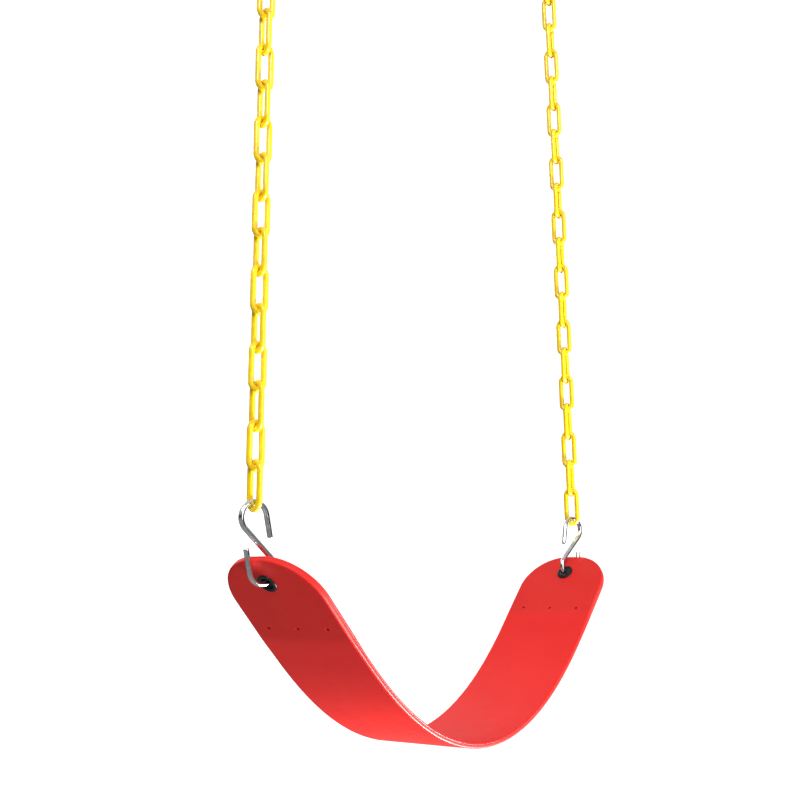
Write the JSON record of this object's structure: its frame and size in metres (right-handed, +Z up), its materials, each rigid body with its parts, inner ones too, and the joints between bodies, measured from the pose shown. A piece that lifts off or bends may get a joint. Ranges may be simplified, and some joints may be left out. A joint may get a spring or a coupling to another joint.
{
  "type": "belt swing seat with chains",
  "caption": "Flexible belt swing seat with stiffened round ends, metal eyelets and S-hooks, hung on two coated link chains with open top hooks.",
  "frame": {"origin": "midway between the two places where a hanger bears in the top hooks", "axes": "+X from the left chain to the right chain along the span, +Y across the seat away from its front edge, +Z up"},
  "size_m": [0.6289, 0.118, 1.0809],
  "materials": {
    "belt": "satin moulded red",
    "stiffener_steel": "plain zinc-plated sheet, hidden in the belt",
    "eyelet": "black satin",
    "hook_wire": "bright zinc or chrome plated wire",
    "chain_coating": "glossy dipped yellow coating over steel"
  },
  "bodies": {
    "hangers": {"left_top_hook": "hook_wire", "right_top_hook": "hook_wire"},
    "left_link_01": {"left_link_01": "chain_coating"},
    "left_link_02": {"left_link_02": "chain_coating"},
    "left_link_03": {"left_link_03": "chain_coating"},
    "left_link_04": {"left_link_04": "chain_coating"},
    "left_link_05": {"left_link_05": "chain_coating"},
    "left_link_06": {"left_link_06": "chain_coating"},
    "left_link_07": {"left_link_07": "chain_coating"},
    "left_link_08": {"left_link_08": "chain_coating"},
    "left_link_09": {"left_link_09": "chain_coating"},
    "left_link_10": {"left_link_10": "chain_coating"},
    "left_link_11": {"left_link_11": "chain_coating"},
    "left_link_12": {"left_link_12": "chain_coating"},
    "left_link_13": {"left_link_13": "chain_coating"},
    "left_link_14": {"left_link_14": "chain_coating"},
    "left_link_15": {"left_link_15": "chain_coating"},
    "left_link_16": {"left_link_16": "chain_coating"},
    "left_link_17": {"left_link_17": "chain_coating"},
    "left_link_18": {"left_link_18": "chain_coating"},
    "left_link_19": {"left_link_19": "chain_coating"},
    "left_link_20": {"left_link_20": "chain_coating"},
    "left_s_hook": {"left_s_hook": "hook_wire"},
    "right_link_01": {"right_link_01": "chain_coating"},
    "right_link_02": {"right_link_02": "chain_coating"},
    "right_link_03": {"right_link_03": "chain_coating"},
    "right_link_04": {"right_link_04": "chain_coating"},
    "right_link_05": {"right_link_05": "chain_coating"},
    "right_link_06": {"right_link_06": "chain_coating"},
    "right_link_07": {"right_link_07": "chain_coating"},
    "right_link_08": {"right_link_08": "chain_coating"},
    "right_link_09": {"right_link_09": "chain_coating"},
    "right_link_10": {"right_link_10": "chain_coating"},
    "right_link_11": {"right_link_11": "chain_coating"},
    "right_link_12": {"right_link_12": "chain_coating"},
    "right_link_13": {"right_link_13": "chain_coating"},
    "right_link_14": {"right_link_14": "chain_coating"},
    "right_link_15": {"right_link_15": "chain_coating"},
    "right_link_16": {"right_link_16": "chain_coating"},
    "right_link_17": {"right_link_17": "chain_coating"},
    "right_link_18": {"right_link_18": "chain_coating"},
    "right_link_19": {"right_link_19": "chain_coating"},
    "right_link_20": {"right_link_20": "chain_coating"},
    "right_s_hook": {"right_s_hook": "hook_wire"},
    "seat": {"seat_belt": "belt", "left_end_plate": "stiffener_steel", "left_eyelet": "eyelet", "left_eyelet_washer": "eyelet", "right_end_plate": "stiffener_steel", "right_eyelet": "eyelet", "right_eyelet_washer": "eyelet"}
  },
  "joints": [
    {"name": "left_link_01_swing", "type": "hinge", "parent": "hangers", "child": "left_link_01", "pos_m": [-0.2766, 0, -0.06837], "axis": [1, 0, 0], "range_deg": [-45, 45]},
    {"name": "left_link_02_swing", "type": "hinge", "parent": "left_link_01", "child": "left_link_02", "pos_m": [-0.27783, 0, -0.11236], "axis": [1, 0, 0], "range_deg": [-8, 8]},
    {"name": "left_link_03_swing", "type": "hinge", "parent": "left_link_02", "child": "left_link_03", "pos_m": [-0.27871, 0, -0.14374], "axis": [1, 0, 0], "range_deg": [-8, 8]},
    {"name": "left_link_04_swing", "type": "hinge", "parent": "left_link_03", "child": "left_link_04", "pos_m": [-0.27994, 0, -0.18773], "axis": [1, 0, 0], "range_deg": [-8, 8]},
    {"name": "left_link_05_swing", "type": "hinge", "parent": "left_link_04", "child": "left_link_05", "pos_m": [-0.28082, 0, -0.21911], "axis": [1, 0, 0], "range_deg": [-8, 8]},
    {"name": "left_link_06_swing", "type": "hinge", "parent": "left_link_05", "child": "left_link_06", "pos_m": [-0.28204, 0, -0.2631], "axis": [1, 0, 0], "range_deg": [-8, 8]},
    {"name": "left_link_07_swing", "type": "hinge", "parent": "left_link_06", "child": "left_link_07", "pos_m": [-0.28292, 0, -0.29448], "axis": [1, 0, 0], "range_deg": [-8, 8]},
    {"name": "left_link_08_swing", "type": "hinge", "parent": "left_link_07", "child": "left_link_08", "pos_m": [-0.28415, 0, -0.33847], "axis": [1, 0, 0], "range_deg": [-8, 8]},
    {"name": "left_link_09_swing", "type": "hinge", "parent": "left_link_08", "child": "left_link_09", "pos_m": [-0.28503, 0, -0.36986], "axis": [1, 0, 0], "range_deg": [-8, 8]},
    {"name": "left_link_10_swing", "type": "hinge", "parent": "left_link_09", "child": "left_link_10", "pos_m": [-0.28625, 0, -0.41384], "axis": [1, 0, 0], "range_deg": [-8, 8]},
    {"name": "left_link_11_swing", "type": "hinge", "parent": "left_link_10", "child": "left_link_11", "pos_m": [-0.28713, 0, -0.44523], "axis": [1, 0, 0], "range_deg": [-8, 8]},
    {"name": "left_link_12_swing", "type": "hinge", "parent": "left_link_11", "child": "left_link_12", "pos_m": [-0.28836, 0, -0.48921], "axis": [1, 0, 0], "range_deg": [-8, 8]},
    {"name": "left_link_13_swing", "type": "hinge", "parent": "left_link_12", "child": "left_link_13", "pos_m": [-0.28924, 0, -0.5206], "axis": [1, 0, 0], "range_deg": [-8, 8]},
    {"name": "left_link_14_swing", "type": "hinge", "parent": "left_link_13", "child": "left_link_14", "pos_m": [-0.29046, 0, -0.56458], "axis": [1, 0, 0], "range_deg": [-8, 8]},
    {"name": "left_link_15_swing", "type": "hinge", "parent": "left_link_14", "child": "left_link_15", "pos_m": [-0.29134, 0, -0.59597], "axis": [1, 0, 0], "range_deg": [-8, 8]},
    {"name": "left_link_16_swing", "type": "hinge", "parent": "left_link_15", "child": "left_link_16", "pos_m": [-0.29257, 0, -0.63995], "axis": [1, 0, 0], "range_deg": [-8, 8]},
    {"name": "left_link_17_swing", "type": "hinge", "parent": "left_link_16", "child": "left_link_17", "pos_m": [-0.29345, 0, -0.67134], "axis": [1, 0, 0], "range_deg": [-8, 8]},
    {"name": "left_link_18_swing", "type": "hinge", "parent": "left_link_17", "child": "left_link_18", "pos_m": [-0.29468, 0, -0.71532], "axis": [1, 0, 0], "range_deg": [-8, 8]},
    {"name": "left_link_19_swing", "type": "hinge", "parent": "left_link_18", "child": "left_link_19", "pos_m": [-0.29555, 0, -0.74671], "axis": [1, 0, 0], "range_deg": [-8, 8]},
    {"name": "left_link_20_swing", "type": "hinge", "parent": "left_link_19", "child": "left_link_20", "pos_m": [-0.29678, 0, -0.79069], "axis": [1, 0, 0], "range_deg": [-8, 8]},
    {"name": "left_s_hook_swing", "type": "hinge", "parent": "left_link_20", "child": "left_s_hook", "pos_m": [-0.29765, 0, -0.82188], "axis": [1, 0, 0], "range_deg": [-20, 20]},
    {"name": "right_link_01_swing", "type": "hinge", "parent": "hangers", "child": "right_link_01", "pos_m": [0.27657, 0, -0.06837], "axis": [1, 0, 0], "range_deg": [-45, 45]},
    {"name": "right_link_02_swing", "type": "hinge", "parent": "right_link_01", "child": "right_link_02", "pos_m": [0.2778, 0, -0.11236], "axis": [1, 0, 0], "range_deg": [-8, 8]},
    {"name": "right_link_03_swing", "type": "hinge", "parent": "right_link_02", "child": "right_link_03", "pos_m": [0.27867, 0, -0.14374], "axis": [1, 0, 0], "range_deg": [-8, 8]},
    {"name": "right_link_04_swing", "type": "hinge", "parent": "right_link_03", "child": "right_link_04", "pos_m": [0.2799, 0, -0.18773], "axis": [1, 0, 0], "range_deg": [-8, 8]},
    {"name": "right_link_05_swing", "type": "hinge", "parent": "right_link_04", "child": "right_link_05", "pos_m": [0.28078, 0, -0.21911], "axis": [1, 0, 0], "range_deg": [-8, 8]},
    {"name": "right_link_06_swing", "type": "hinge", "parent": "right_link_05", "child": "right_link_06", "pos_m": [0.28201, 0, -0.2631], "axis": [1, 0, 0], "range_deg": [-8, 8]},
    {"name": "right_link_07_swing", "type": "hinge", "parent": "right_link_06", "child": "right_link_07", "pos_m": [0.28288, 0, -0.29448], "axis": [1, 0, 0], "range_deg": [-8, 8]},
    {"name": "right_link_08_swing", "type": "hinge", "parent": "right_link_07", "child": "right_link_08", "pos_m": [0.28411, 0, -0.33847], "axis": [1, 0, 0], "range_deg": [-8, 8]},
    {"name": "right_link_09_swing", "type": "hinge", "parent": "right_link_08", "child": "right_link_09", "pos_m": [0.28499, 0, -0.36986], "axis": [1, 0, 0], "range_deg": [-8, 8]},
    {"name": "right_link_10_swing", "type": "hinge", "parent": "right_link_09", "child": "right_link_10", "pos_m": [0.28622, 0, -0.41384], "axis": [1, 0, 0], "range_deg": [-8, 8]},
    {"name": "right_link_11_swing", "type": "hinge", "parent": "right_link_10", "child": "right_link_11", "pos_m": [0.28709, 0, -0.44523], "axis": [1, 0, 0], "range_deg": [-8, 8]},
    {"name": "right_link_12_swing", "type": "hinge", "parent": "right_link_11", "child": "right_link_12", "pos_m": [0.28832, 0, -0.48921], "axis": [1, 0, 0], "range_deg": [-8, 8]},
    {"name": "right_link_13_swing", "type": "hinge", "parent": "right_link_12", "child": "right_link_13", "pos_m": [0.2892, 0, -0.5206], "axis": [1, 0, 0], "range_deg": [-8, 8]},
    {"name": "right_link_14_swing", "type": "hinge", "parent": "right_link_13", "child": "right_link_14", "pos_m": [0.29043, 0, -0.56458], "axis": [1, 0, 0], "range_deg": [-8, 8]},
    {"name": "right_link_15_swing", "type": "hinge", "parent": "right_link_14", "child": "right_link_15", "pos_m": [0.2913, 0, -0.59597], "axis": [1, 0, 0], "range_deg": [-8, 8]},
    {"name": "right_link_16_swing", "type": "hinge", "parent": "right_link_15", "child": "right_link_16", "pos_m": [0.29253, 0, -0.63995], "axis": [1, 0, 0], "range_deg": [-8, 8]},
    {"name": "right_link_17_swing", "type": "hinge", "parent": "right_link_16", "child": "right_link_17", "pos_m": [0.29341, 0, -0.67134], "axis": [1, 0, 0], "range_deg": [-8, 8]},
    {"name": "right_link_18_swing", "type": "hinge", "parent": "right_link_17", "child": "right_link_18", "pos_m": [0.29464, 0, -0.71532], "axis": [1, 0, 0], "range_deg": [-8, 8]},
    {"name": "right_link_19_swing", "type": "hinge", "parent": "right_link_18", "child": "right_link_19", "pos_m": [0.29552, 0, -0.74671], "axis": [1, 0, 0], "range_deg": [-8, 8]},
    {"name": "right_link_20_swing", "type": "hinge", "parent": "right_link_19", "child": "right_link_20", "pos_m": [0.29674, 0, -0.79069], "axis": [1, 0, 0], "range_deg": [-8, 8]},
    {"name": "right_s_hook_swing", "type": "hinge", "parent": "right_link_20", "child": "right_s_hook", "pos_m": [0.29762, 0, -0.82188], "axis": [1, 0, 0], "range_deg": [-20, 20]},
    {"name": "seat_rock", "type": "hinge", "parent": "left_s_hook", "child": "seat", "pos_m": [-0.27701, 0, -0.89475], "axis": [1, 0, 0], "range_deg": [-8, 8]}
  ],
  "couplings": [
    {"joint": "right_link_01_swing", "follows": "left_link_01_swing", "ratio": 1},
    {"joint": "right_link_02_swing", "follows": "left_link_02_swing", "ratio": 1},
    {"joint": "right_link_03_swing", "follows": "left_link_03_swing", "ratio": 1},
    {"joint": "right_link_04_swing", "follows": "left_link_04_swing", "ratio": 1},
    {"joint": "right_link_05_swing", "follows": "left_link_05_swing", "ratio": 1},
    {"joint": "right_link_06_swing", "follows": "left_link_06_swing", "ratio": 1},
    {"joint": "right_link_07_swing", "follows": "left_link_07_swing", "ratio": 1},
    {"joint": "right_link_08_swing", "follows": "left_link_08_swing", "ratio": 1},
    {"joint": "right_link_09_swing", "follows": "left_link_09_swing", "ratio": 1},
    {"joint": "right_link_10_swing", "follows": "left_link_10_swing", "ratio": 1},
    {"joint": "right_link_11_swing", "follows": "left_link_11_swing", "ratio": 1},
    {"joint": "right_link_12_swing", "follows": "left_link_12_swing", "ratio": 1},
    {"joint": "right_link_13_swing", "follows": "left_link_13_swing", "ratio": 1},
    {"joint": "right_link_14_swing", "follows": "left_link_14_swing", "ratio": 1},
    {"joint": "right_link_15_swing", "follows": "left_link_15_swing", "ratio": 1},
    {"joint": "right_link_16_swing", "follows": "left_link_16_swing", "ratio": 1},
    {"joint": "right_link_17_swing", "follows": "left_link_17_swing", "ratio": 1},
    {"joint": "right_link_18_swing", "follows": "left_link_18_swing", "ratio": 1},
    {"joint": "right_link_19_swing", "follows": "left_link_19_swing", "ratio": 1},
    {"joint": "right_link_20_swing", "follows": "left_link_20_swing", "ratio": 1},
    {"joint": "right_s_hook_swing", "follows": "left_s_hook_swing", "ratio": 1}
  ]
}
